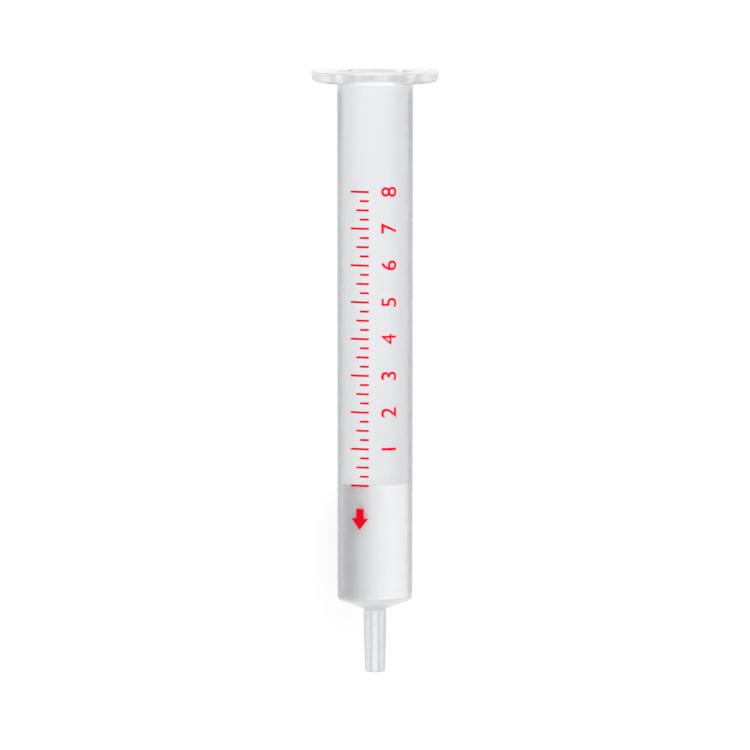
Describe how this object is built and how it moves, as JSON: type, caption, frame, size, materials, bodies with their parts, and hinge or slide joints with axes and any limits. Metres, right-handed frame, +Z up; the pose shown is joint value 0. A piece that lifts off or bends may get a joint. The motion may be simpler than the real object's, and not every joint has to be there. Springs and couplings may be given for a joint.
{
  "type": "liquid chromatography column",
  "caption": "Clear syringe-style chromatography column with flange, white packed bed between frits, tapered outlet tip and printed volume scale.",
  "frame": {"origin": "on the ground under the middle of the lying column's bounding box", "axes": "+Z up with the column lying as it rests, +Y towards the open mouth and flange, the column's own axis 1.4 degrees above +Y; the printed scale faces up"},
  "size_m": [0.0254, 0.1202, 0.02],
  "materials": {
    "clear_plastic": "clear polypropylene, slightly milky, glossy",
    "porous_plastic": "pressed porous polyethylene, matt",
    "packed_powder": "packed white powder, matt",
    "red_ink": "printed ink, satin"
  },
  "bodies": {
    "root": {"barrel": "clear_plastic", "lower_frit": "porous_plastic", "sorbent_bed": "packed_powder", "upper_frit": "porous_plastic", "printed_scale": "red_ink"}
  },
  "joints": []
}
